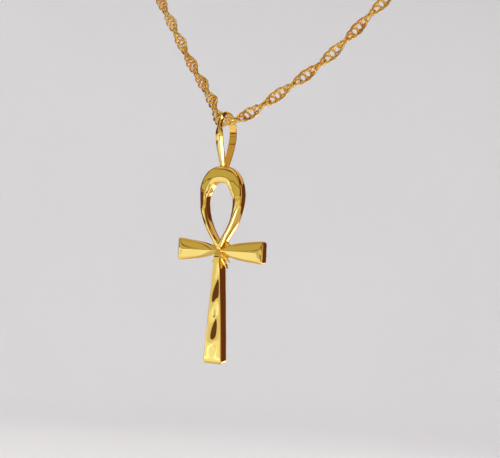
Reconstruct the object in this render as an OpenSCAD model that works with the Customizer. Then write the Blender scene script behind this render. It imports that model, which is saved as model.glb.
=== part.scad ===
// Gold ankh pendant with a soldered bail, hanging on a rope chain necklace.
// The origin is the middle of the clasp, at the back of the neck. The front is toward -Y and up is +Z.

/* [Ankh] */
// Height of the loop above the crossing
loop_rise = 10.15; // [8:0.05:13]
// Width across the loop
loop_width = 5.7; // [4.8:0.05:7.5]
// Width of the loop's band at its crown
crown_band = 2; // [1.4:0.05:2.4]
// Width of the loop's band at its sides
side_band = 1.1; // [0.8:0.05:1.4]
// Width over both arms
arm_span = 11.3; // [9:0.1:15]
// Height of an arm at its end
arm_end_height = 2.75; // [2:0.1:3.6]
// Distance of an arm's front rim at its end from the hanging plane
arm_end_front = 0.3; // [0.2:0.05:0.8]
// Drop of the stem below the crossing
stem_drop = 13.5; // [10:0.05:18]
// Width of the stem at its foot
stem_foot_width = 2.44; // [1.6:0.05:3]
// Distance of the front rims from the hanging plane
front_depth = 0.8; // [0.6:0.05:1.1]
// Distance of the back of the stem and arms from the hanging plane
back_depth = 0.72; // [0.5:0.02:1]
// Distance of the back of the loop from the hanging plane
loop_back_depth = 0.5; // [0.35:0.05:0.7]
// Rise of the ridges above the rims
ridge_rise = 0.36; // [0.2:0.02:0.5]

/* [Bail] */
// Height of the bail above the loop's crown
bail_height = 6.65; // [5.5:0.05:9]
// Depth of the bail, front to back
bail_depth = 4.2; // [3.4:0.05:5.5]
// Width of the bail's strap
strap_width = 0.95; // [0.6:0.05:1.2]
// Thickness of the strap at its ridge
strap_thick = 0.32; // [0.24:0.02:0.45]

/* [Chain] */
// Diameter of the rope chain
chain_d = 1.5; // [1.1:0.05:1.8]
// Free space between the chain and the top of the bail
bail_clearance = 0.12; // [0.08:0.01:0.3]
// Width of the necklace where it is widest
neck_width = 114; // [90:1:150]
// Distance of the bail in front of the clasp
neck_depth = 127; // [100:1:150]
// Drop of the bail below the clasp
neck_drop = 112; // [90:1:150]

/* [Clasp] */
// Outer diameter of the clasp ring
clasp_d = 5.6; // [4.5:0.1:8]
// Diameter of the clasp ring's round wire
clasp_wire = 1.1; // [0.9:0.05:1.6]
// Length of each end sleeve that holds the chain
sleeve_length = 2; // [1.2:0.1:4]
// Wall of an end sleeve around the chain's diameter
sleeve_wall = 0.15; // [0.1:0.05:0.4]

/* [Hidden] */
gold = [0.93, 0.77, 0.33];

// Rope chain: its route from beside the bail round one side of the neck, as shares of the necklace's
// half width, depth and drop
chain_route = [
    [0.039, 0.014, 0.011], [0.086, 0.035, 0.036], [0.154, 0.057, 0.071], [0.267, 0.085, 0.143],
    [0.509, 0.15, 0.304], [0.754, 0.252, 0.5], [0.93, 0.402, 0.688], [1, 0.583, 0.83],
    [0.912, 0.764, 0.929], [0.684, 0.906, 0.982], [0.351, 0.984, 1]
];
RING_STEP = 5.8;
BAIL_STEPS = 6;
TUBE_SIDES = 8;
LOOP_STEPS = 2;
PETAL_STEPS = 2;

// Sections of an arm: share of its reach, half height as a share of its end's, ridge as a share
ARM_AT = 0;
ARM_HALF = 1;
ARM_RIDGE = 2;
arm_sections = [
    [0, 0.16, 0.3], [0.08, 0.17, 0.4], [0.14, 0.26, 0.55], [0.21, 0.42, 0.75], [0.3, 0.57, 0.9],
    [0.42, 0.7, 1], [0.6, 0.82, 1], [0.8, 0.92, 0.95], [0.965, 0.995, 0.85], [1, 0.95, 0.5]
];
// Sections of the stem: share of its drop, half width as a share of its foot's, ridge as a share
stem_sections = [
    [0, 0.2, 0.6], [0.08, 0.27, 0.9], [0.17, 0.34, 1], [0.3, 0.43, 1], [0.53, 0.61, 1], [0.75, 0.8, 1],
    [0.9, 0.93, 1], [0.965, 0.99, 0.9], [0.99, 0.92, 0.75], [1, 0.8, 0.6]
];
// Profile across an arm or the stem: share of the half width, share of the ridge's rise
front_profile = [
    [-1, 0], [-0.9, 0.3], [-0.5, 0.68], [-0.06, 0.99], [0.06, 0.99], [0.5, 0.68], [0.9, 0.3], [1, 0]
];
// Profile of the back: share of the half width, share of the back edge's rounding
back_profile = [[0.95, 1], [0.85, 0], [-0.85, 0], [-0.95, 1]];
back_edge = 0.15;
// Web that fills the corners behind the crossing, right half: share of an arm's reach, height as a
// share of an arm's end height
web_outline = [
    [0.05, -0.9], [0.09, -0.74], [0.1, -0.58], [0.16, -0.45], [0.26, -0.26], [0.26, 0.26], [0.215, 0.4],
    [0.2, 0.56], [0.21, 0.7], [0.03, 0.34]
];
// Front and back of the web, as shares of the distance of the back from the hanging plane
WEB_FRONT = -0.3;
WEB_BACK = 0.9;

// Loop: share of its rise, outer half width as a share of the loop's, band as a share between
// the width at the sides (0) and at the crown (1)
LOOP_Z = 0;
LOOP_X = 1;
LOOP_BAND = 2;
loop_sections = [
    [0.006, 0.04, -0.6], [0.13, 0.32, -0.58], [0.25, 0.58, -0.52], [0.37, 0.78, -0.4], [0.5, 0.93, -0.2],
    [0.62, 1, 0], [0.71, 0.985, 0.15], [0.8, 0.92, 0.35], [0.88, 0.79, 0.6], [0.95, 0.57, 0.85],
    [0.988, 0.3, 0.97], [1, 0, 1]
];
// Profile across the loop's band: share of the band from the outside in, share of the ridge's rise
band_profile = [[0, 0], [0.07, 0.35], [0.35, 0.8], [0.64, 1.1], [0.7, 1.1], [0.96, 0.75], [1, 0.6]];
band_back_profile = [[1, 1], [0.85, 0], [0.15, 0], [0, 1]];

// Bail, seen from the side: share of its height, share of its half depth, share of the strap's width
BAIL_Z = 0;
BAIL_Y = 1;
BAIL_W = 2;
bail_sections = [
    [1, 0, 0.95], [0.985, 0.3, 0.95], [0.93, 0.6, 0.95], [0.84, 0.84, 0.97], [0.73, 0.97, 1],
    [0.62, 1, 1], [0.48, 0.91, 1], [0.34, 0.74, 1], [0.2, 0.52, 0.95], [0.08, 0.3, 0.9], [-0.02, 0.12, 0.85]
];
// Profile across the strap: share of its half width, share of its thickness from the inside out
strap_profile = [[-1, 0], [-1, 0.4], [-0.12, 1], [0.12, 1], [1, 0.4], [1, 0]];

arm_reach = arm_span / 2;
bail_top = loop_rise + bail_height;
hinge_rise = bail_top - strap_thick - bail_clearance - chain_d / 2;
clasp_reach = clasp_d / 2 - clasp_wire / 2 + sleeve_length;
hanging_point = [0, -neck_depth, -neck_drop];
bail_way_out = [strap_width / 2 + bail_clearance, 0, 0];
route_points = concat(
    [hanging_point, hanging_point + bail_way_out],
    [for (row = chain_route)
        hanging_point + [row[0] * neck_width / 2, row[1] * neck_depth, row[2] * neck_drop]],
    [[clasp_reach, 0, 0]]
);

// Vector helpers
function unit(v) = v / norm(v);
function flat(lists) = [for (list = lists) for (item = list) item];

// Smooth curve through the rows of a table, with some steps between two rows
function between(a, b, c, d, t) =
    b + (c - a) * t / 2
    + (2 * a - 5 * b + 4 * c - d) * pow(t, 2) / 2
    + (3 * b - a - 3 * c + d) * pow(t, 3) / 2;

function row_at(rows, i, closed) =
    closed ? rows[(i + len(rows)) % len(rows)] : rows[min(max(i, 0), len(rows) - 1)];

function finer(rows, steps, closed = false) = concat(
    [for (i = [0 : len(rows) - (closed ? 1 : 2)], s = [0 : steps - 1])
        between(
            row_at(rows, i - 1, closed), rows[i],
            row_at(rows, i + 1, closed), row_at(rows, i + 2, closed), s / steps
        )],
    closed ? [] : [rows[len(rows) - 1]]
);

// Solid skin over rings that all have as many points; open ends get flat caps
module skin(rings, closed = false) {
    count = len(rings);
    sides = len(rings[0]);
    last = closed ? count - 1 : count - 2;
    walls = [
        for (i = [0 : last], j = [0 : sides - 1])
            let (a = i * sides, b = ((i + 1) % count) * sides, k = (j + 1) % sides)
                each [[a + j, a + k, b + k], [a + j, b + k, b + j]]
    ];
    caps = closed ? [] : [
        [for (j = [sides - 1 : -1 : 0]) j],
        [for (j = [0 : sides - 1]) (count - 1) * sides + j]
    ];
    polyhedron(points = flat(rings), faces = concat(walls, caps), convexity = 10);
}

// Section across an arm or the stem: pairs of [across, toward the front]
function petal_section(half, front, rise) = concat(
    [for (row = front_profile) [row[0] * half, front + row[1] * rise]],
    [for (row = back_profile) [row[0] * half, row[1] * back_edge - back_depth]]
);

module arm() {
    half = arm_end_height / 2;
    rings = [
        for (row = finer(arm_sections, PETAL_STEPS))
            let (front = front_depth + (arm_end_front - front_depth) * row[ARM_AT])
                [for (p = petal_section(row[ARM_HALF] * half, front, row[ARM_RIDGE] * ridge_rise))
                    [row[ARM_AT] * arm_reach, -p[1], p[0]]]
    ];
    skin(rings);
}

module stem() {
    half = stem_foot_width / 2;
    rings = [
        for (row = finer(stem_sections, PETAL_STEPS))
            [for (p = petal_section(row[ARM_HALF] * half, front_depth, row[ARM_RIDGE] * ridge_rise))
                [p[0], -p[1], -row[ARM_AT] * stem_drop]]
    ];
    skin(rings);
}

// Web behind the crossing, between the arms, the stem and the loop
module web() {
    right = [for (p = web_outline) [p[0] * arm_reach, p[1] * arm_end_height]];
    left = [for (i = [len(right) - 1 : -1 : 0]) [-right[i][0], right[i][1]]];
    translate([0, WEB_BACK * back_depth, 0])
        rotate([90, 0, 0])
            linear_extrude(height = (WEB_BACK - WEB_FRONT) * back_depth)
                polygon(concat(right, left));
}

// Outline of the loop, up its right side and down its left
loop_right = [for (row = loop_sections)
    [row[LOOP_X] * loop_width / 2, row[LOOP_Z] * loop_rise, row[LOOP_BAND]]];
loop_left = [for (i = [len(loop_right) - 2 : -1 : 0])
    [-loop_right[i][0], loop_right[i][1], loop_right[i][2]]];
loop_line = finer(concat(loop_right, loop_left), LOOP_STEPS);

// Inward direction at a point of the outline, square to its neighbours' chord
function inward(line, i) =
    let (a = line[max(i - 1, 0)], b = line[min(i + 1, len(line) - 1)])
        unit([a[1] - b[1], b[0] - a[0]]);

function band_point(p, shift, depth) = [p[0] + shift[0], depth, p[1] + shift[1]];

// Right half of the loop, from the crossing up to the middle of the crown
module half_loop() {
    middle = (len(loop_line) - 1) / 2;
    rings = [
        for (i = [0 : middle])
            let (
                p = loop_line[i],
                way = i == middle ? [0, -1] : inward(loop_line, i),
                band = side_band + (crown_band - side_band) * p[2]
            )
                concat(
                    [for (row = band_profile)
                        band_point(p, way * band * row[0], -front_depth - row[1] * ridge_rise)],
                    [for (row = band_back_profile)
                        band_point(p, way * band * row[0], loop_back_depth - row[1] * back_edge)]
                )
    ];
    skin(rings);
}

// The bail's bent strip, in the plane across the ankh
bail_front = [for (row = bail_sections) [-row[BAIL_Y], row[BAIL_Z], row[BAIL_W]]];
bail_back = [for (i = [len(bail_sections) - 1 : -1 : 1])
    [bail_sections[i][BAIL_Y], bail_sections[i][BAIL_Z], bail_sections[i][BAIL_W]]];
bail_line = [for (p = finer(concat(bail_front, bail_back), LOOP_STEPS, closed = true))
    [p[0] * (bail_depth / 2 - strap_thick), loop_rise + p[1] * (bail_height - strap_thick), p[2]]];

function outward(line, i) =
    let (count = len(line), a = line[(i + count - 1) % count], b = line[(i + 1) % count])
        unit([b[1] - a[1], a[0] - b[0]]);

module bail() {
    rings = [
        for (i = [0 : len(bail_line) - 1])
            let (p = bail_line[i], way = outward(bail_line, i), half = strap_width / 2 * p[2])
                [for (q = strap_profile)
                    [q[0] * half, p[0] + way[0] * q[1] * strap_thick, p[1] + way[1] * q[1] * strap_thick]]
    ];
    skin(rings, closed = true);
}

module ankh_and_bail() {
    color(gold)
        translate(hanging_point - [0, 0, hinge_rise])
            union() {
                for (side = [0, 1])
                    mirror([side, 0, 0]) {
                        half_loop();
                        arm();
                    }
                stem();
                web();
                bail();
            }
}

// Direction of the route at a point, for chords of unlike length
function heading(points, i) =
    i == 0 ? [1, 0, 0] :
    i == len(points) - 1 ? [-1, 0, 0] :
    let (a = points[i] - points[i - 1], b = points[i + 1] - points[i])
        unit(unit(a) * norm(b) + unit(b) * norm(a));

function along(points, i, t) =
    let (a = points[i], b = points[i + 1], reach = norm(b - a))
        (2 * pow(t, 3) - 3 * pow(t, 2) + 1) * a
        + (pow(t, 3) - 2 * pow(t, 2) + t) * reach * heading(points, i)
        + (3 * pow(t, 2) - 2 * pow(t, 3)) * b
        + (pow(t, 3) - pow(t, 2)) * reach * heading(points, i + 1);

function steps(points, i) =
    i < 2 ? BAIL_STEPS : max(2, round(norm(points[i + 1] - points[i]) / RING_STEP));

tube_line = concat(
    [for (i = [0 : len(route_points) - 2]) for (s = [0 : steps(route_points, i) - 1])
        along(route_points, i, s / steps(route_points, i))],
    [[clasp_reach, 0, 0]]
);
loop_normal = unit([0, -neck_drop, neck_depth]);

function tube_heading(i) =
    i == 0 ? [1, 0, 0] :
    i == len(tube_line) - 1 ? [-1, 0, 0] : unit(tube_line[i + 1] - tube_line[i - 1]);

module rope_chain_half() {
    rings = [
        for (i = [0 : len(tube_line) - 1])
            let (way = tube_heading(i), side = unit(cross(loop_normal, way)), up = cross(way, side))
                [for (j = [0 : TUBE_SIDES - 1])
                    let (turn = (j + 0.5) * 360 / TUBE_SIDES)
                        tube_line[i] + chain_d / 2 * (cos(turn) * side + sin(turn) * up)]
    ];
    skin(rings);
}

module rope_chain_right() {
    color(gold)
        rope_chain_half();
}

module rope_chain_left() {
    color(gold)
        mirror([1, 0, 0])
            rope_chain_half();
}

// Spring ring as one plain piece, with the sleeves that hold the chain's ends
module clasp() {
    ring_r = (clasp_d - clasp_wire) / 2;
    color(gold)
        union() {
            rotate([90, 0, 0])
                rotate_extrude($fn = 64)
                    translate([ring_r, 0])
                        circle(d = clasp_wire, $fn = 24);
            for (side = [-1, 1])
                translate([side * (ring_r + sleeve_length / 2), 0, 0])
                    rotate([0, 90, 0])
                        cylinder(h = sleeve_length, d = chain_d + 2 * sleeve_wall, center = true, $fn = 32);
        }
}

ankh_and_bail();
rope_chain_left();
rope_chain_right();
clasp();
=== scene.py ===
"""Gold ankh pendant on a rope chain: its finished shapes, metals, light and camera around the frame."""

import math

import bpy
from mathutils import Matrix, Quaternion, Vector, noise


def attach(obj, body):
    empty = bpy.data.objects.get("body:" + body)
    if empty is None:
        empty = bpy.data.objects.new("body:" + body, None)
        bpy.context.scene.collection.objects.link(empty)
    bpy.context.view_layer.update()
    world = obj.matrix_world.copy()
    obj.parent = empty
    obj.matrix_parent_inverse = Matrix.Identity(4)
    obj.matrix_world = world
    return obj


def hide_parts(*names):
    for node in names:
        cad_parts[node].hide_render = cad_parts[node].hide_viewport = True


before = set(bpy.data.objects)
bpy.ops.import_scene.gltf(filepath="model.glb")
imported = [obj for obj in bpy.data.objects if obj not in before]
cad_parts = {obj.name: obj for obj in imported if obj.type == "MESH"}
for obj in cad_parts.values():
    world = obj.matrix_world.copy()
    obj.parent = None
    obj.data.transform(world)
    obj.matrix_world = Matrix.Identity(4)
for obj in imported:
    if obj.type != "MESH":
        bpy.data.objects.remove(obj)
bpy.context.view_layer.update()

MM = 0.001

# Sizes of the necklace, in millimetres
LOOP_RISE = 10.15
LOOP_WIDTH = 5.82
CROWN_BAND = 2.0
SIDE_BAND = 1.1
ARM_REACH = 5.7
ARM_END_HEIGHT = 2.75
ARM_END_FRONT = 0.3
STEM_DROP = 13.5
STEM_FOOT_WIDTH = 2.44
FRONT_DEPTH = 0.8
BACK_DEPTH = 0.72
LOOP_BACK_DEPTH = 0.5
RIDGE_RISE = 0.36
BAIL_HEIGHT = 6.65
BAIL_DEPTH = 4.2
STRAP_WIDTH = 0.95
STRAP_THICK = 0.32
CHAIN_D = 1.5
BAIL_CLEARANCE = 0.12
NECK_WIDTH = 114.0
NECK_DEPTH = 127.0
NECK_DROP = 112.0
CLASP_D = 5.6
CLASP_WIRE = 1.1
SLEEVE_LENGTH = 2.0
SLEEVE_WALL = 0.15

HINGE_RISE = LOOP_RISE + BAIL_HEIGHT - STRAP_THICK - BAIL_CLEARANCE - CHAIN_D / 2
CLASP_RADIUS = (CLASP_D - CLASP_WIRE) / 2
CLASP_REACH = CLASP_RADIUS + SLEEVE_LENGTH
HANGING_POINT = Vector((0.0, -NECK_DEPTH, -NECK_DROP))
CROSSING = HANGING_POINT - Vector((0.0, 0.0, HINGE_RISE))


# Smooth lines and closed skins. Every point carries a tone: 0 on an open face, up to 1 at a rim, where the
# metal paints a deeper, warmer reflection

CORNER_STEPS = 4
SOFTNESS_LIMIT = 0.45


def turns(count):
    """Angles of a full turn in equal steps."""
    return [math.tau * i / count for i in range(count)]


def between(a, b, c, d, t):
    """Row at share t of the smooth curve from row b to row c."""
    return [
        q
        + (r - p) * t / 2
        + (2 * p - 5 * q + 4 * r - s) * t**2 / 2
        + (3 * q - p - 3 * r + s) * t**3 / 2
        for p, q, r, s in zip(a, b, c, d)
    ]


def finer(rows, steps, closed=False):
    """The rows with more of them on a smooth curve in between."""
    count = len(rows)

    def row(i):
        return rows[i % count] if closed else rows[min(max(i, 0), count - 1)]

    spans = count if closed else count - 1
    made = [
        between(row(i - 1), row(i), row(i + 1), row(i + 2), s / steps)
        for i in range(spans)
        for s in range(steps)
    ]
    return made if closed else made + [list(rows[-1])]


def eased(corners):
    """Closed outline whose corners (x, y, softness, tone) are short curves; gives (x, y, tone) rows."""
    outline = []
    count = len(corners)
    for i, (x, y, softness, tone) in enumerate(corners):
        corner = Vector((x, y))
        before = Vector(corners[i - 1][:2]) - corner
        after = Vector(corners[(i + 1) % count][:2]) - corner
        start = corner + before * min(softness / before.length, SOFTNESS_LIMIT)
        end = corner + after * min(softness / after.length, SOFTNESS_LIMIT)
        for k in range(CORNER_STEPS + 1):
            t = k / CORNER_STEPS
            p = start * (1 - t) ** 2 + corner * 2 * t * (1 - t) + end * t**2
            outline.append((p.x, p.y, tone))
    return outline


class Shell:
    """Collects closed skins of rings, in millimetres, and turns them into one mesh object."""

    def __init__(self):
        self.points = []
        self.faces = []
        self.tones = []

    def skin(self, rings, closed=False, flip=False):
        """Adds a skin over rings of (point, tone) pairs; open ends get caps."""
        first = len(self.points)
        sides = len(rings[0])
        for ring in rings:
            for point, tone in ring:
                self.points.append(point)
                self.tones.append(tone)
        faces = []
        for i in range(len(rings) if closed else len(rings) - 1):
            a = first + i * sides
            b = first + (i + 1) % len(rings) * sides
            for j in range(sides):
                k = (j + 1) % sides
                faces.append((a + j, a + k, b + k, b + j))
        if not closed:
            last = first + (len(rings) - 1) * sides
            faces.append(tuple(first + j for j in reversed(range(sides))))
            faces.append(tuple(last + j for j in range(sides)))
        self.faces += [tuple(reversed(face)) for face in faces] if flip else faces

    def object(self, name):
        mesh = bpy.data.meshes.new(name)
        mesh.from_pydata([p * MM for p in self.points], [], self.faces)
        # The tone goes along as an attribute, which the metal paints as a deeper reflection at the rims
        tone = mesh.attributes.new("tone", "FLOAT", "POINT")
        tone.data.foreach_set("value", self.tones)
        mesh.validate()
        made = bpy.data.objects.new(name, mesh)
        bpy.context.scene.collection.objects.link(made)
        return made


def as_mesh(source, name):
    """A plain mesh object of what the source looks like with its modifiers, which then goes."""
    seen = source.evaluated_get(bpy.context.evaluated_depsgraph_get())
    mesh = bpy.data.meshes.new_from_object(seen)
    made = bpy.data.objects.new(name, mesh)
    bpy.context.scene.collection.objects.link(made)
    mesh.name = name
    bpy.data.objects.remove(source)
    return made


def soldered(parts, name):
    """The parts joined into one closed solid."""
    body = parts[0]
    for part in parts[1:]:
        joint = body.modifiers.new("joint", "BOOLEAN")
        joint.operation = "UNION"
        joint.solver = "MANIFOLD"
        joint.object = part
    made = as_mesh(body, name)
    for part in parts[1:]:
        bpy.data.objects.remove(part)
    return made


# The ankh. Sections of its arms and stem: share of the length, half width as a share of the end's,
# ridge as a share of its rise; those of the arms also say how far up across the arm the ridge runs

ARM_SECTIONS = [
    (0, 0.16, 0.3, 0), (0.08, 0.17, 0.4, 0), (0.14, 0.26, 0.55, 0), (0.21, 0.42, 0.75, 0),
    (0.3, 0.57, 0.9, 0), (0.42, 0.7, 1, 0), (0.6, 0.82, 1, 0), (0.78, 0.91, 0.97, 0),
    (0.86, 0.95, 0.94, 0), (0.9, 0.965, 0.84, 0.08), (0.94, 0.978, 0.66, 0.16), (0.972, 0.98, 0.48, 0.2),
    (0.987, 0.955, 0.32, 0.2), (0.996, 0.9, 0.12, 0.2), (1, 0.83, 0, 0.2),
]
STEM_SECTIONS = [
    (0, 0.26, 0.8), (0.08, 0.33, 0.72), (0.17, 0.415, 0.62), (0.3, 0.52, 0.56), (0.53, 0.7, 0.56),
    (0.75, 0.855, 0.56), (0.9, 0.95, 0.54), (0.965, 0.985, 0.48), (0.984, 0.96, 0.36), (0.993, 0.91, 0.2),
    (0.998, 0.85, 0.05), (1, 0.78, -0.05),
]
# Share of the half width, share of the ridge's rise, softness of the corner, tone (the share of painted
# reflection at the rims)
PETAL_FRONT = [
    (-1, 0, 0.12, 1), (-0.9, 0.3, 0.2, 0.6), (-0.5, 0.68, 0.5, 0), (-0.06, 0.99, 0.2, 0),
    (0.06, 0.99, 0.2, 0), (0.5, 0.68, 0.5, 0), (0.9, 0.3, 0.2, 0.6), (1, 0, 0.12, 1),
]
# The stem's front is flat with a bevel along each side, in narrow strips that can follow the swells; the
# bevels take the full painted rim reflection
BEVELLED_FRONT = [(-1, 0.25, 0.06, 1)]
BEVELLED_FRONT += [(k / 10, 1, 0.04, 0) for k in range(-9, 10)]
BEVELLED_FRONT += [(1, 0.25, 0.06, 1)]
# Share of the half width, share of the back edge's depth, softness, tone (the share of painted rim
# reflection)
PETAL_BACK = [(0.95, 1, 0.1, 1), (0.85, 0, 0.12, 0.6), (-0.85, 0, 0.12, 0.6), (-0.95, 1, 0.1, 1)]
BACK_EDGE = 0.15
PETAL_STEPS = 6

# The front sinks toward the crossing: how deep, and how far out along the loop, stem and arms;
# the power says how suddenly it ends on the stem
CENTRE_DIP = 0.2
LOOP_REACH = 4.5
STEM_REACH = 0.35
STEM_POWER = 3
ARM_DIP_REACH = 2.0


def dip(distance, reach, power=2):
    """How far the front sinks at a distance from the crossing."""
    return CENTRE_DIP * math.exp(-((abs(distance) / reach) ** power))


def petal_section(profile, half, front, rise):
    """Outline across an arm or the stem: (across, toward the front, tone) rows."""
    corners = [(x * half, front + y * rise, soft, tone) for x, y, soft, tone in profile]
    corners += [(x * half, y * BACK_EDGE - BACK_DEPTH, soft, tone) for x, y, soft, tone in PETAL_BACK]
    return eased(corners)


def arm(side):
    shell = Shell()
    rings = []
    for share, half, ridge, up in finer(ARM_SECTIONS, PETAL_STEPS):
        front = FRONT_DEPTH + (ARM_END_FRONT - FRONT_DEPTH) * share
        front -= dip(share * ARM_REACH, ARM_DIP_REACH)
        profile = [(x + up * (1 - abs(x)), y, soft, tone) for x, y, soft, tone in PETAL_FRONT]
        section = petal_section(profile, half * ARM_END_HEIGHT / 2, front, ridge * RIDGE_RISE)
        rings.append([(Vector((side * share * ARM_REACH, -y, x)), tone) for x, y, tone in section])
    shell.skin(rings, flip=side < 0)
    return shell.object("arm")


# Low swells on the polished front of the stem: millimetres down, slope, millimetres across; they
# lean to the right and narrow upward, by the taper for each millimetre as far as its limit
SWELLS = [(4.8, 0.075, 0.2), (9.3, 0.11, 0.14)]
SWELL_REACH = 2.4
SWELL_WIDTH = 0.4
SWELL_LEAN = 0.07
SWELL_TAPER = 0.2
TAPER_LIMIT = 1.6


def swell(x, z):
    """How far the stem's front stands out at a place."""
    height = 0
    for drop, slope, middle in SWELLS:
        up = z + drop
        width = SWELL_WIDTH * (1 - SWELL_TAPER * max(min(up, TAPER_LIMIT), -TAPER_LIMIT))
        across = math.exp(-(((x - middle - SWELL_LEAN * up) / width) ** 2))
        height -= slope * up * math.exp(-((up / SWELL_REACH) ** 4)) * across
    return height


def stem():
    shell = Shell()
    rings = []
    for share, half, ridge in finer(STEM_SECTIONS, PETAL_STEPS):
        z = -share * STEM_DROP
        half *= STEM_FOOT_WIDTH / 2
        front = FRONT_DEPTH - dip(z, STEM_REACH, STEM_POWER)
        ring = []
        for x, y, tone in petal_section(BEVELLED_FRONT, half, front, ridge * RIDGE_RISE):
            if y > front:
                y += swell(x, z) * max(1 - (x / half) ** 4, 0)
            ring.append((Vector((x, -y, z)), tone))
        rings.append(ring)
    shell.skin(rings)
    return shell.object("stem")


# Web that fills the corners behind the crossing, right half: share of an arm's reach, height as a
# share of an arm's end height
WEB_OUTLINE = [
    (0.03, -0.5), (0.07, -0.46), (0.11, -0.4), (0.16, -0.33), (0.26, -0.22), (0.26, 0.24), (0.2, 0.34),
    (0.15, 0.42), (0.11, 0.46), (0.03, 0.34),
]
# Share of the back's depth, share of the outline's size; the front of the web faces a little down
WEB_SECTIONS = [(0.9, 0.86), (0.84, 0.9), (0.42, 0.9), (0.36, 0.86), (0.35, 0.1)]
WEB_SLOPE = 0.09


def web():
    right = [(x * ARM_REACH, z * ARM_END_HEIGHT) for x, z in WEB_OUTLINE]
    outline = right + [(-x, z) for x, z in reversed(right)]
    rings = [
        [(Vector((x * size, y * BACK_DEPTH - WEB_SLOPE * z * size, z * size)), 0) for x, z in outline]
        for y, size in WEB_SECTIONS
    ]
    shell = Shell()
    shell.skin(rings)
    return shell.object("web")


# Small rays in the corners: degrees away from straight down, length
RAYS = [(23.2, 2.3), (39.4, 1.82)]
# Share of the length, half width, front, both in millimetres
RAY_SECTIONS = [(0, 0.14, 0.72), (0.4, 0.13, 0.52), (0.7, 0.12, 0.3), (0.92, 0.08, 0.1), (1, 0.04, 0.0)]
RAY_BACK = -0.3
# Share of the width that is flat at the front
RAY_FLAT = 0.8
RAY_SOFTNESS = 0.03


def ray(angle, length):
    turn = math.radians(angle)
    along = Vector((math.sin(turn), 0, -math.cos(turn)))
    across = Vector((math.cos(turn), 0, math.sin(turn)))
    rings = []
    for share, half, front in RAY_SECTIONS:
        # The back corners take the full painted rim reflection
        corners = [
            (-half, RAY_BACK, RAY_SOFTNESS, 1),
            (-half * RAY_FLAT, front, RAY_SOFTNESS, 0),
            (half * RAY_FLAT, front, RAY_SOFTNESS, 0),
            (half, RAY_BACK, RAY_SOFTNESS, 1),
        ]
        rings.append(
            [
                (along * share * length + across * x - Vector((0, y, 0)), tone)
                for x, y, tone in eased(corners)
            ]
        )
    shell = Shell()
    shell.skin(rings)
    return shell.object("ray")


# Loop: share of its rise, outer half width as a share of the loop's, band as a share between the
# width at the sides (0) and at the crown (1)
LOOP_SECTIONS = [
    (0.006, 0.05, -0.5), (0.13, 0.35, -0.46), (0.25, 0.61, -0.4), (0.37, 0.8, -0.28), (0.5, 0.94, -0.1),
    (0.62, 1, 0.12), (0.71, 0.985, 0.42), (0.8, 0.92, 0.62), (0.88, 0.79, 0.75), (0.95, 0.57, 0.88),
    (0.988, 0.3, 0.97), (1, 0, 1),
]
# Share of the band from the outside in, share of the ridge's rise or of the back edge's depth,
# softness, tone (the share of painted rim reflection)
BAND_FRONT = [
    (0, -0.3, 0.12, 1), (0.07, 0.3, 0.15, 0.6), (0.35, 0.8, 0.4, 0), (0.64, 1.1, 0.12, 0),
    (0.7, 1.1, 0.1, 0), (0.96, 0.75, 0.1, 0.6), (1, 0.6, 0.1, 1),
]
BAND_BACK = [(1, 3, 0.2, 1), (0.8, 0, 0.15, 0.6), (0.12, 0, 0.15, 0.6), (0, 2.6, 0.15, 1)]
# A low hollow in the polish of the left band: how high up, how far along the band, its depth as a
# share of the ridge's rise, and the share of the band that it covers from the outside in
HOLLOW = 6.1
HOLLOW_REACH = 1.0
HOLLOW_DEPTH = 0.75
HOLLOW_SHARE = 0.6
LOOP_STEPS = 8
# The ridge of each leg starts at this share of its rise and is whole before this height
LEG_START = 0.4
LEG_RISE = 2.5


def half_loop(side):
    right = [
        (x * LOOP_WIDTH / 2, z * LOOP_RISE, SIDE_BAND + (CROWN_BAND - SIDE_BAND) * share)
        for z, x, share in LOOP_SECTIONS
    ]
    left = [(-x, z, band) for x, z, band in right[-2::-1]]
    line = finer(right + left, LOOP_STEPS)
    middle = (len(line) - 1) // 2
    rings = []
    for i in range(middle + 1):
        x, z, band = line[i]
        before, after = line[max(i - 1, 0)], line[i + 1]
        inward = Vector((before[1] - after[1], after[0] - before[0])).normalized()
        if i == middle:
            inward = Vector((0, -1))
        front = FRONT_DEPTH - dip(z, LOOP_REACH)
        ridge = RIDGE_RISE * min(LEG_START + z / LEG_RISE, 1)
        hollow = HOLLOW_DEPTH * math.exp(-(((z - HOLLOW) / HOLLOW_REACH) ** 4)) if side < 0 else 0
        corners = [
            (s * band, front + (r - hollow * max(1 - s / HOLLOW_SHARE, 0)) * ridge, soft, tone)
            for s, r, soft, tone in BAND_FRONT
        ]
        corners += [
            (s * band, r * BACK_EDGE - LOOP_BACK_DEPTH, soft, tone)
            for s, r, soft, tone in BAND_BACK
        ]
        rings.append(
            [
                (Vector((side * (x + inward.x * s), -depth, z + inward.y * s)), tone)
                for s, depth, tone in eased(corners)
            ]
        )
    shell = Shell()
    shell.skin(rings, flip=side < 0)
    return shell.object("half_loop")


# Bail: share of its height, share of its half depth, share of the strap's width
BAIL_SECTIONS = [
    (1, 0, 0.8), (0.985, 0.3, 0.76), (0.93, 0.6, 0.7), (0.84, 0.84, 0.64), (0.73, 0.97, 0.66),
    (0.62, 1, 1), (0.48, 0.91, 1), (0.34, 0.74, 1), (0.2, 0.52, 0.95), (0.08, 0.3, 0.9),
    (-0.02, 0.12, 0.85),
]
# The back of the bail stays wide up to the arch
BAIL_BACK_WIDTHS = [0.84, 0.9, 0.95, 0.98]
# Share of the strap's half width, share of its thickness from the inside out, softness, tone (the share of
# painted reflection at its edges)
STRAP = [
    (-1, 0, 0.06, 1), (-1, 0.4, 0.08, 0.8), (-0.12, 1, 0.1, 0), (0.12, 1, 0.1, 0), (1, 0.4, 0.08, 0.8),
    (1, 0, 0.06, 1),
]
BAIL_STEPS = 8


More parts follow.
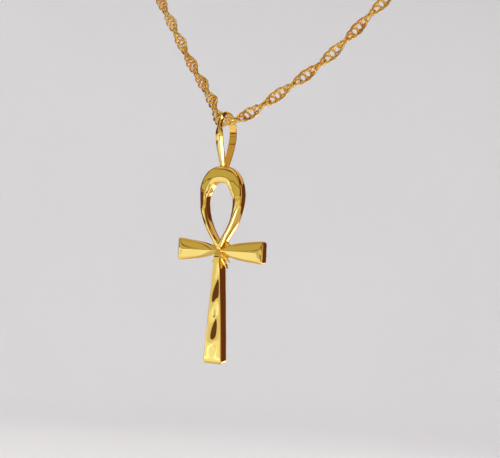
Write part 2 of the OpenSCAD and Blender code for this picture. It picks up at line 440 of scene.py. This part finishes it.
def bail():
    front = [(-y, z, width) for z, y, width in BAIL_SECTIONS]
    back = [(y, z, width) for z, y, width in BAIL_SECTIONS[1:]]
    for i, width in enumerate(BAIL_BACK_WIDTHS):
        back[i] = (*back[i][:2], width)
    back.reverse()
    line = [
        (y * (BAIL_DEPTH / 2 - STRAP_THICK), LOOP_RISE + z * (BAIL_HEIGHT - STRAP_THICK), width)
        for y, z, width in finer(front + back, BAIL_STEPS, closed=True)
    ]
    rings = []
    for i, (y, z, width) in enumerate(line):
        before, after = line[i - 1], line[(i + 1) % len(line)]
        out = Vector((after[1] - before[1], before[0] - after[0])).normalized()
        half = STRAP_WIDTH / 2 * width
        corners = [(s * half, t * STRAP_THICK, soft, tone) for s, t, soft, tone in STRAP]
        rings.append([(Vector((x, y + out.x * t, z + out.y * t)), tone) for x, t, tone in eased(corners)])
    shell = Shell()
    shell.skin(rings, closed=True)
    return shell.object("bail")


# Small flowed seat of solder where the bail stands on the crown: a half round that starts a little
# inside the band; its rings stand at these shares of its height
SEAT_HALF_WIDTH = 0.5
SEAT_HALF_DEPTH = 0.62
SEAT_SINK = 0.18
SEAT_HEIGHT = 0.42
SEAT_SHARES = [0, 0.15, 0.35, 0.6, 0.85, 1]
SEAT_TIP = 0.02
SEAT_SIDES = 24
# The whole seat takes this share of the deeper colour that paints the reflection at the rims
SEAT_TONE = 0.6


def solder():
    shell = Shell()
    rings = []
    for share in SEAT_SHARES:
        size = math.sqrt(max(1 - share**2, SEAT_TIP))
        z = LOOP_RISE - SEAT_SINK + SEAT_HEIGHT * share
        ring = []
        for turn in turns(SEAT_SIDES):
            x = SEAT_HALF_WIDTH * size * math.cos(turn)
            y = SEAT_HALF_DEPTH * size * math.sin(turn)
            ring.append((Vector((x, y, z)), SEAT_TONE))
        rings.append(ring)
    shell.skin(rings)
    return shell.object("solder")


# The polished front faces of a casting are never quite even: depth of the waves in millimetres, how
# far they lie under the face as a share of it, how many to a millimetre, and how squarely a face
# looks to the front to have them
WAVE = 0.011
WAVE_SINK = 0.5
WAVE_SCALE = 0.62
WAVE_FACING = -0.3
# Corners sharper than this many degrees stay crisp
ANKH_EDGE = 38
CLASP_EDGE = 30


def make_ankh():
    parts = [half_loop(1), half_loop(-1), arm(1), arm(-1), stem(), web(), bail(), solder()]
    parts += [ray(side * angle, length) for angle, length in RAYS for side in (1, -1)]
    ankh = soldered(parts, "ankh_with_bail")
    mesh = ankh.data
    mesh.validate()
    normals = [v.normal.copy() for v in mesh.vertices]
    for v, normal in zip(mesh.vertices, normals):
        place = v.co / MM
        if place.z < LOOP_RISE and normal.y < WAVE_FACING:
            v.co += normal * (WAVE * (noise.noise(place * WAVE_SCALE) - WAVE_SINK) * MM)
    mesh.transform(Matrix.Translation(CROSSING * MM))
    mesh.shade_smooth()
    mesh.set_sharp_from_angle(angle=math.radians(ANKH_EDGE))
    return ankh


# The rope chain. Its route beside the bail and round one side of the neck, as shares of the
# necklace's half width, depth and drop from the hanging point
CHAIN_ROUTE = [
    (0.039, 0.014, 0.011), (0.086, 0.035, 0.036), (0.154, 0.057, 0.071), (0.267, 0.085, 0.143),
    (0.509, 0.15, 0.304), (0.754, 0.252, 0.5), (0.93, 0.402, 0.688), (1, 0.583, 0.83),
    (0.912, 0.764, 0.929), (0.684, 0.906, 0.982), (0.351, 0.984, 1),
]
# The chain's line has points this many millimetres apart, and at least so many in each span
LINE_STEP = 0.4
FEWEST_STEPS = 4
# Its wire rings, in millimetres; each is turned by so many degrees from the last
RING_PITCH = 0.8
RING_LENGTH = 1.66
RING_WIDTH = 1.24
RING_WIRE = 0.29
RING_TURN = 32.3
FIRST_TURN = 45.0
RING_CORNERS = 16
WIRE_SIDES = 6
SHADE_SEED = 7

ROPE_SIZES = {
    "Pitch": RING_PITCH * MM,
    "Ring length": RING_LENGTH * MM,
    "Ring width": RING_WIDTH * MM,
    "Wire": RING_WIRE * MM,
    "Turn": math.radians(RING_TURN),
    "First turn": math.radians(FIRST_TURN),
}


def chain_line():
    """Smooth line of the chain from the left sleeve down to the bail and up to the right sleeve."""
    half = [HANGING_POINT, HANGING_POINT + Vector((STRAP_WIDTH / 2 + BAIL_CLEARANCE, 0, 0))]
    for x, y, z in CHAIN_ROUTE:
        half.append(HANGING_POINT + Vector((x * NECK_WIDTH / 2, y * NECK_DEPTH, z * NECK_DROP)))
    half.append(Vector((CLASP_REACH, 0, 0)))
    headings = []
    for i in range(len(half)):
        if i == 0:
            headings.append(Vector((1, 0, 0)))
        elif i == len(half) - 1:
            headings.append(Vector((-1, 0, 0)))
        else:
            a, b = half[i] - half[i - 1], half[i + 1] - half[i]
            headings.append((a.normalized() * b.length + b.normalized() * a.length).normalized())
    line = []
    for i in range(len(half) - 1):
        a, b = half[i], half[i + 1]
        reach = (b - a).length
        count = max(FEWEST_STEPS, round(reach / LINE_STEP))
        for k in range(count):
            t = k / count
            line.append(
                a * (2 * t**3 - 3 * t**2 + 1)
                + headings[i] * (reach * (t**3 - 2 * t**2 + t))
                + b * (3 * t**2 - 2 * t**3)
                + headings[i + 1] * (reach * (t**3 - t**2))
            )
    line.append(half[-1])
    mirrored = [Vector((-p.x, p.y, p.z)) for p in line[:0:-1]]
    return mirrored + line


# Node trees

NODES_IN_ROW = 8
NODE_ACROSS = 220
NODE_DOWN = 320


class Nodes:
    """Adds nodes to a tree, laid out in one row after the other."""

    def __init__(self, tree):
        self.tree = tree
        self.count = 0

    def new(self, kind):
        node = self.tree.nodes.new(kind)
        row, column = divmod(self.count, NODES_IN_ROW)
        node.location = (column * NODE_ACROSS, -row * NODE_DOWN)
        self.count += 1
        return node

    def feed(self, socket, value):
        """Gives a socket a link or a plain value."""
        if isinstance(value, Wire):
            self.tree.links.new(value.socket, socket)
        else:
            socket.default_value = value

    def add(self, kind, settings=None, **sockets):
        node = self.new(kind)
        for name, value in (settings or {}).items():
            setattr(node, name, value)
        for name, value in sockets.items():
            socket = next(s for s in node.inputs if s.enabled and s.name.replace(" ", "_") == name)
            self.feed(socket, value)
        return node

    def out(self, node, name=None):
        """Socket of a node's result, ready for maths."""
        return Wire(self, next(s for s in node.outputs if s.enabled and name in (None, s.name)))


class Wire:
    """A result in a shader or geometry tree; sums and products of it add their Math nodes."""

    def __init__(self, nodes, socket):
        self.nodes = nodes
        self.socket = socket

    def maths(self, operation, other):
        node = self.nodes.new("ShaderNodeMath")
        node.operation = operation
        self.nodes.feed(node.inputs[0], self)
        self.nodes.feed(node.inputs[1], other)
        return Wire(self.nodes, node.outputs[0])

    def __add__(self, other):
        return self.maths("ADD", other)

    def __sub__(self, other):
        return self.maths("SUBTRACT", other)

    def __mul__(self, other):
        return self.maths("MULTIPLY", other)

    def clipped(self):
        """The number held between 0 and 1."""
        return self.maths("MAXIMUM", 0.0).maths("MINIMUM", 1.0)


def rope_tree(material):
    """Geometry Nodes that thread wire rings along a line, each turned a little from the last."""
    tree = bpy.data.node_groups.new("rope chain", "GeometryNodeTree")
    face = tree.interface
    face.new_socket(name="Line", in_out="INPUT", socket_type="NodeSocketGeometry")
    for name in ROPE_SIZES:
        face.new_socket(name=name, in_out="INPUT", socket_type="NodeSocketFloat")
    face.new_socket(name="Chain", in_out="OUTPUT", socket_type="NodeSocketGeometry")
    nodes = Nodes(tree)
    given = nodes.add("NodeGroupInput")
    size = {name: nodes.out(given, name) for name in ("Line", *ROPE_SIZES)}
    seats = nodes.add(
        "GeometryNodeCurveToPoints", {"mode": "LENGTH"}, Curve=size["Line"], Length=size["Pitch"]
    )
    circle = nodes.add("GeometryNodeCurvePrimitiveCircle", Resolution=RING_CORNERS, Radius=0.5)
    stretch = nodes.add("ShaderNodeCombineXYZ", X=size["Ring width"], Y=size["Ring length"], Z=1.0)
    oval = nodes.add("GeometryNodeTransform", Geometry=nodes.out(circle), Scale=nodes.out(stretch))
    upright = nodes.add(
        "GeometryNodeTransform", Geometry=nodes.out(oval), Rotation=(math.radians(90), 0, 0)
    )
    radius = size["Wire"] * 0.5
    section = nodes.add("GeometryNodeCurvePrimitiveCircle", Resolution=WIRE_SIDES, Radius=radius)
    ring = nodes.add("GeometryNodeCurveToMesh", Curve=nodes.out(upright), Profile_Curve=nodes.out(section))
    order = nodes.out(nodes.add("GeometryNodeInputIndex"))
    turn = order * size["Turn"] + size["First turn"]
    turned = nodes.add("FunctionNodeAxisAngleToRotation", Axis=(0, 0, 1), Angle=turn)
    facing = nodes.add(
        "FunctionNodeRotateRotation",
        {"rotation_space": "LOCAL"},
        Rotation=nodes.out(seats, "Rotation"),
        Rotate_By=nodes.out(turned),
    )
    rings = nodes.add(
        "GeometryNodeInstanceOnPoints",
        Points=nodes.out(seats, "Points"),
        Instance=nodes.out(ring),
        Rotation=nodes.out(facing),
    )
    shade = nodes.add("FunctionNodeRandomValue", {"data_type": "FLOAT"}, Min=0.0, Max=1.0, Seed=SHADE_SEED)
    marked = nodes.add(
        "GeometryNodeStoreNamedAttribute",
        {"data_type": "FLOAT", "domain": "INSTANCE"},
        Geometry=nodes.out(rings),
        Name="tone",
        Value=nodes.out(shade),
    )
    real = nodes.add("GeometryNodeRealizeInstances", Geometry=nodes.out(marked))
    smooth = nodes.add("GeometryNodeSetShadeSmooth", Geometry=nodes.out(real))
    gilt = nodes.add("GeometryNodeSetMaterial", Geometry=nodes.out(smooth), Material=material)
    nodes.add("NodeGroupOutput", Chain=nodes.out(gilt))
    return tree


def make_rope_chain(material):
    curve = bpy.data.curves.new("chain_line", "CURVE")
    curve.dimensions = "3D"
    points = chain_line()
    spline = curve.splines.new("POLY")
    spline.points.add(len(points) - 1)
    for knot, point in zip(spline.points, points):
        knot.co = (*(point * MM), 1.0)
    line = bpy.data.objects.new("chain_line", curve)
    bpy.context.scene.collection.objects.link(line)
    threaded = line.modifiers.new("rope chain", "NODES")
    tree = rope_tree(material)
    threaded.node_group = tree
    for socket in tree.interface.items_tree:
        if socket.name in ROPE_SIZES:
            threaded[socket.identifier] = ROPE_SIZES[socket.name]
    return as_mesh(line, "rope_chain")


# Spring ring clasp with the sleeves that hold the chain's ends. Sections of a sleeve: place along it
# in halves of its length, share of its radius
SLEEVE_SECTIONS = [
    (0.0, 0.8), (0.35, 0.8), (0.5, 0.86), (0.62, 0.93), (1.55, 0.93), (1.66, 1), (1.88, 1), (2.0, 0.93),
]
SLEEVE_RADIUS = CHAIN_D / 2 + SLEEVE_WALL
SLEEVE_SIDES = 40
# Where the sleeve narrows, at its ends and grooves, it takes this share of painted rim reflection; the
# ring's wire is deepened evenly by its own share
SLEEVE_RIM_REFLECTION = 0.6
CLASP_STEPS = 96
CLASP_WIRE_SIDES = 24
CLASP_TONE = 0.3


def clasp_wire():
    rings = []
    for turn in turns(CLASP_STEPS):
        out = Vector((math.cos(turn), 0, math.sin(turn)))
        ring = []
        for a in turns(CLASP_WIRE_SIDES):
            place = out * (CLASP_RADIUS + CLASP_WIRE / 2 * math.cos(a))
            ring.append((place + Vector((0, CLASP_WIRE / 2 * math.sin(a), 0)), CLASP_TONE))
        rings.append(ring)
    shell = Shell()
    shell.skin(rings, closed=True)
    return shell.object("ring")


def sleeve(side):
    rings = []
    for along, share in SLEEVE_SECTIONS:
        x = side * (CLASP_RADIUS + along * SLEEVE_LENGTH / 2)
        radius = SLEEVE_RADIUS * share
        tone = SLEEVE_RIM_REFLECTION if share < 1 else 0
        rings.append(
            [(Vector((x, radius * math.cos(a), radius * math.sin(a))), tone) for a in turns(SLEEVE_SIDES)]
        )
    shell = Shell()
    shell.skin(rings, flip=side < 0)
    return shell.object("sleeve")


def make_clasp():
    clasp = soldered([clasp_wire(), sleeve(-1), sleeve(1)], "clasp_ring")
    clasp.data.shade_smooth()
    clasp.data.set_sharp_from_angle(angle=math.radians(CLASP_EDGE))
    return clasp


# Metals. Clouds of colour and a fine grain in the polish: scale of the clouds to a metre, what the tone
# (a painted reflection at the rims; on the chain a random tint for each ring) and the clouds add to the
# depth of colour, what the clouds add to the wear, and the grain's strength and height in metres
CLOUD_SCALE = 420.0
PAINTED_REFLECTION_AND_TINT = 0.75
CLOUD_DEPTH = 0.5
CLOUD_WEAR = 0.3
GRAIN_STRENGTH = 0.25
GRAIN_HEIGHT = 0.000004
NOISE_MIDDLE = 0.5


def gold(name, bright, reflection_and_tint, roughness, wear, grain):
    """Polished gold: bright on the faces, deeper at the rims as a painted reflection (on the chain a
    random tint for each ring), with fine wear from handling.
    """
    material = bpy.data.materials.new(name)
    material.use_nodes = True
    tree = material.node_tree
    tree.nodes.clear()
    nodes = Nodes(tree)
    place = nodes.out(nodes.add("ShaderNodeTexCoord"), "Object")
    tone = nodes.out(nodes.add("ShaderNodeAttribute", {"attribute_name": "tone"}), "Fac")
    clouds = nodes.add("ShaderNodeTexNoise", Vector=place, Scale=CLOUD_SCALE, Detail=3.0, Roughness=0.55)
    cloud = nodes.out(clouds, "Fac")
    scratches = nodes.add("ShaderNodeTexNoise", Vector=place, Scale=grain, Detail=4.0, Roughness=0.6)
    fine = nodes.out(scratches, "Fac")
    # Painted reflection: the tone deepens the colour toward the rims (on the chain it tints each ring at
    # random); the clouds vary it at random
    depth = (tone * PAINTED_REFLECTION_AND_TINT + (cloud - NOISE_MIDDLE) * CLOUD_DEPTH).clipped()
    colour = nodes.add("ShaderNodeMix", {"data_type": "RGBA"}, Factor=depth, A=bright, B=reflection_and_tint)
    bump = nodes.add("ShaderNodeBump", Strength=GRAIN_STRENGTH, Distance=GRAIN_HEIGHT, Height=fine)
    shine = nodes.add(
        "ShaderNodeBsdfPrincipled",
        Base_Color=nodes.out(colour, "Result"),
        Metallic=1.0,
        Roughness=(fine - NOISE_MIDDLE) * wear + roughness + cloud * wear * CLOUD_WEAR,
        Normal=nodes.out(bump, "Normal"),
    )
    nodes.add("ShaderNodeOutputMaterial", Surface=nodes.out(shine, "BSDF"))
    return material


# Studio. Its lamps and its floor stand about the pendant, in metres


def toward(azimuth, elevation):
    """Direction from the pendant; azimuth 0 is straight in front of it, 90 to its right."""
    a, e = math.radians(azimuth), math.radians(elevation)
    return Vector((math.sin(a) * math.cos(e), -math.cos(a) * math.cos(e), math.sin(e)))


def soft_box(name, distance, azimuth, elevation, across, up, glow, colour):
    """Evenly glowing panel that looks at the pendant and spans so many degrees across and up."""
    lamp = bpy.data.lights.new(name, "AREA")
    lamp.shape = "RECTANGLE"
    lamp.size = 2 * distance * math.tan(math.radians(across / 2))
    lamp.size_y = 2 * distance * math.tan(math.radians(up / 2))
    lamp.energy = glow * math.pi * lamp.size * lamp.size_y
    lamp.color = colour
    made = bpy.data.objects.new(name, lamp)
    bpy.context.scene.collection.objects.link(made)
    made.location = CROSSING * MM + toward(azimuth, elevation) * distance
    made.rotation_euler = toward(azimuth, elevation).to_track_quat("Z", "Y").to_euler()
    made.visible_camera = False
    return made


# How bright the darker shade of the paint is next to the lighter one
SHADED = 0.94


def plain(name, colour, roughness):
    """Painted surface with faint clouds of a slightly darker shade."""
    material = bpy.data.materials.new(name)
    material.use_nodes = True
    tree = material.node_tree
    tree.nodes.clear()
    nodes = Nodes(tree)
    place = nodes.out(nodes.add("ShaderNodeTexCoord"), "Object")
    cloud = nodes.out(nodes.add("ShaderNodeTexNoise", Vector=place, Scale=3.0, Detail=2.0), "Fac")
    darker = [SHADED * c for c in colour[:3]] + [1.0]
    shade = nodes.add("ShaderNodeMix", {"data_type": "RGBA"}, Factor=cloud, A=colour, B=darker)
    surface = nodes.add(
        "ShaderNodeBsdfPrincipled", Base_Color=nodes.out(shade, "Result"), Roughness=roughness
    )
    nodes.add("ShaderNodeOutputMaterial", Surface=nodes.out(surface, "BSDF"))
    return material


# The floor and its wall, turned about the pendant; a hub of this radius is left open in the middle
FLOOR_Z = -0.36
FLOOR_HUB = 0.0005
FLOOR_RADIUS = 0.95
SWEEP_RADIUS = 0.4
SWEEP_STEPS = 12
WALL_HEIGHT = 1.7
ROUND_SIDES = 96
FLOOR_COLOUR = (0.79, 0.81, 0.83, 1.0)
FLOOR_ROUGHNESS = 0.7
DIM_LIGHT = (0.13, 0.045, 0.028, 1.0)

# Name, distance, azimuth, elevation, degrees across and up, glow, colour
SOFT_BOXES = [
    ("below", 0.21, 0, -90, 153, 153, 0.48, (1.0, 1.0, 1.0)),
    ("floor fill", 0.38, -38, -25, 84, 22, 0.34, (1.0, 1.0, 0.98)),
    ("low front", 0.9, -34, -10.4, 100, 6.8, 0.8, (1.0, 1.0, 0.98)),
    ("mid front", 0.9, -32, -4.4, 100, 5.2, 0.62, (1.0, 0.94, 0.75)),
    ("low right", 0.9, 34, -7.6, 30, 12, 0.6, (1.0, 0.93, 0.68)),
    ("right front", 0.9, 22, 2, 56, 7, 0.44, (0.95, 0.88, 0.45)),
    ("upper front", 0.9, -24, 11, 98, 12, 0.44, (0.94, 0.88, 0.42)),
    ("high front", 0.9, -24, 27, 98, 17, 0.4, (0.94, 0.88, 0.42)),
    ("above", 0.9, -12, 52, 90, 26, 0.4, (1.0, 0.86, 0.45)),
    ("top", 0.9, -12, 78, 70, 20, 1.4, (1.0, 0.95, 0.75)),
    ("right side", 0.9, 80, 5, 44, 40, 0.4, (1.0, 0.88, 0.55)),
    ("low glint", 0.28, 27, -30, 9, 36, 4.0, (1.0, 1.0, 1.0)),
    ("back glint", 0.34, 167, -25, 9, 20, 3.5, (1.0, 1.0, 1.0)),
    ("back", 0.9, 188, 38, 86, 36, 0.5, (1.0, 0.9, 0.6)),
    ("low back", 0.9, 201, -4, 56, 17, 0.5, (1.0, 0.92, 0.7)),
]
OVERHEAD = ("overhead", 0.9, 0, 90, 76, 76, 3.0, (1.0, 0.99, 0.98))


def lathed(name, profile):
    """Surface turned about the pendant from (radius, height) pairs in metres."""
    centre = Vector((0, -NECK_DEPTH * MM, FLOOR_Z))
    points = []
    for radius, rise in profile:
        for turn in turns(ROUND_SIDES):
            points.append(centre + Vector((radius * math.cos(turn), radius * math.sin(turn), rise)))
    faces = []
    for i in range(len(profile) - 1):
        for j in range(ROUND_SIDES):
            a, b = i * ROUND_SIDES + j, i * ROUND_SIDES + (j + 1) % ROUND_SIDES
            faces.append((a, b, b + ROUND_SIDES, a + ROUND_SIDES))
    mesh = bpy.data.meshes.new(name)
    mesh.from_pydata(points, [], faces)
    mesh.shade_smooth()
    made = bpy.data.objects.new(name, mesh)
    bpy.context.scene.collection.objects.link(made)
    return made


def make_stage():
    """Pale round floor that sweeps up to a wall, with the lamps of the studio."""
    profile = [(FLOOR_HUB, 0.0)]
    for k in range(SWEEP_STEPS + 1):
        turn = math.radians(90 * k / SWEEP_STEPS)
        profile.append((FLOOR_RADIUS + SWEEP_RADIUS * math.sin(turn), SWEEP_RADIUS * (1 - math.cos(turn))))
    profile.append((FLOOR_RADIUS + SWEEP_RADIUS, WALL_HEIGHT))
    floor = lathed("floor", profile)
    floor.data.materials.append(plain("pale floor", FLOOR_COLOUR, FLOOR_ROUGHNESS))
    floor.visible_glossy = False

    world = bpy.data.worlds.new("studio")
    world.use_nodes = True
    world.node_tree.nodes["Background"].inputs["Color"].default_value = DIM_LIGHT
    bpy.context.scene.world = world

    for box in SOFT_BOXES:
        soft_box(*box).visible_diffuse = False
    soft_box(*OVERHEAD).visible_glossy = False


# Where the camera looks from, in degrees and metres, its roll, how far the middle of the picture lies
# right of and above the crossing, in millimetres, and how many metres across the picture are there
VIEW_AZIMUTH = 25.3
VIEW_ELEVATION = -0.6
VIEW_DISTANCE = 0.1
VIEW_ROLL = 2.75
VIEW_RIGHT = 3.39
VIEW_UP = 2.776
FRAME_WIDTH = 0.06017
SENSOR = 36.0
CLIP_NEAR = 0.005
CLIP_FAR = 20


def make_camera():
    back = toward(VIEW_AZIMUTH, VIEW_ELEVATION)
    facing = (-back).to_track_quat("-Z", "Y")
    aim = CROSSING + facing @ Vector((VIEW_RIGHT, VIEW_UP, 0))
    lens = bpy.data.cameras.new("camera")
    lens.sensor_width = SENSOR
    lens.lens = SENSOR * VIEW_DISTANCE / FRAME_WIDTH
    lens.clip_start = CLIP_NEAR
    lens.clip_end = CLIP_FAR
    camera = bpy.data.objects.new("camera", lens)
    bpy.context.scene.collection.objects.link(camera)
    camera.location = aim * MM + back * VIEW_DISTANCE
    camera.rotation_mode = "QUATERNION"
    camera.rotation_quaternion = facing @ Quaternion((0, 0, 1), math.radians(VIEW_ROLL))
    bpy.context.scene.camera = camera


# Name, colour of the faces, colour of the painted reflection at the rims (of the darker rings on the
# chain), roughness, wear, scale of the grain to a metre
pendant_gold = gold("polished gold", (1.0, 0.85, 0.27, 1), (0.93, 0.54, 0.1, 1), 0.05, 0.03, 9000.0)
chain_gold = gold("drawn gold wire", (1.0, 0.84, 0.34, 1), (0.92, 0.46, 0.08, 1), 0.12, 0.06, 12000.0)
clasp_gold = gold("clasp gold", (1.0, 0.82, 0.28, 1), (0.92, 0.56, 0.15, 1), 0.12, 0.08, 9000.0)

make_camera()
make_stage()

ankh = make_ankh()
ankh.data.materials.clear()
ankh.data.materials.append(pendant_gold)
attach(ankh, "pendant")
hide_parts("ankh_and_bail")

rope_chain = make_rope_chain(chain_gold)
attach(rope_chain, "necklace")
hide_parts("rope_chain_left", "rope_chain_right")

clasp = make_clasp()
clasp.data.materials.clear()
clasp.data.materials.append(clasp_gold)
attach(clasp, "necklace")
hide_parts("clasp")

bpy.context.scene.view_settings.view_transform = "Standard"
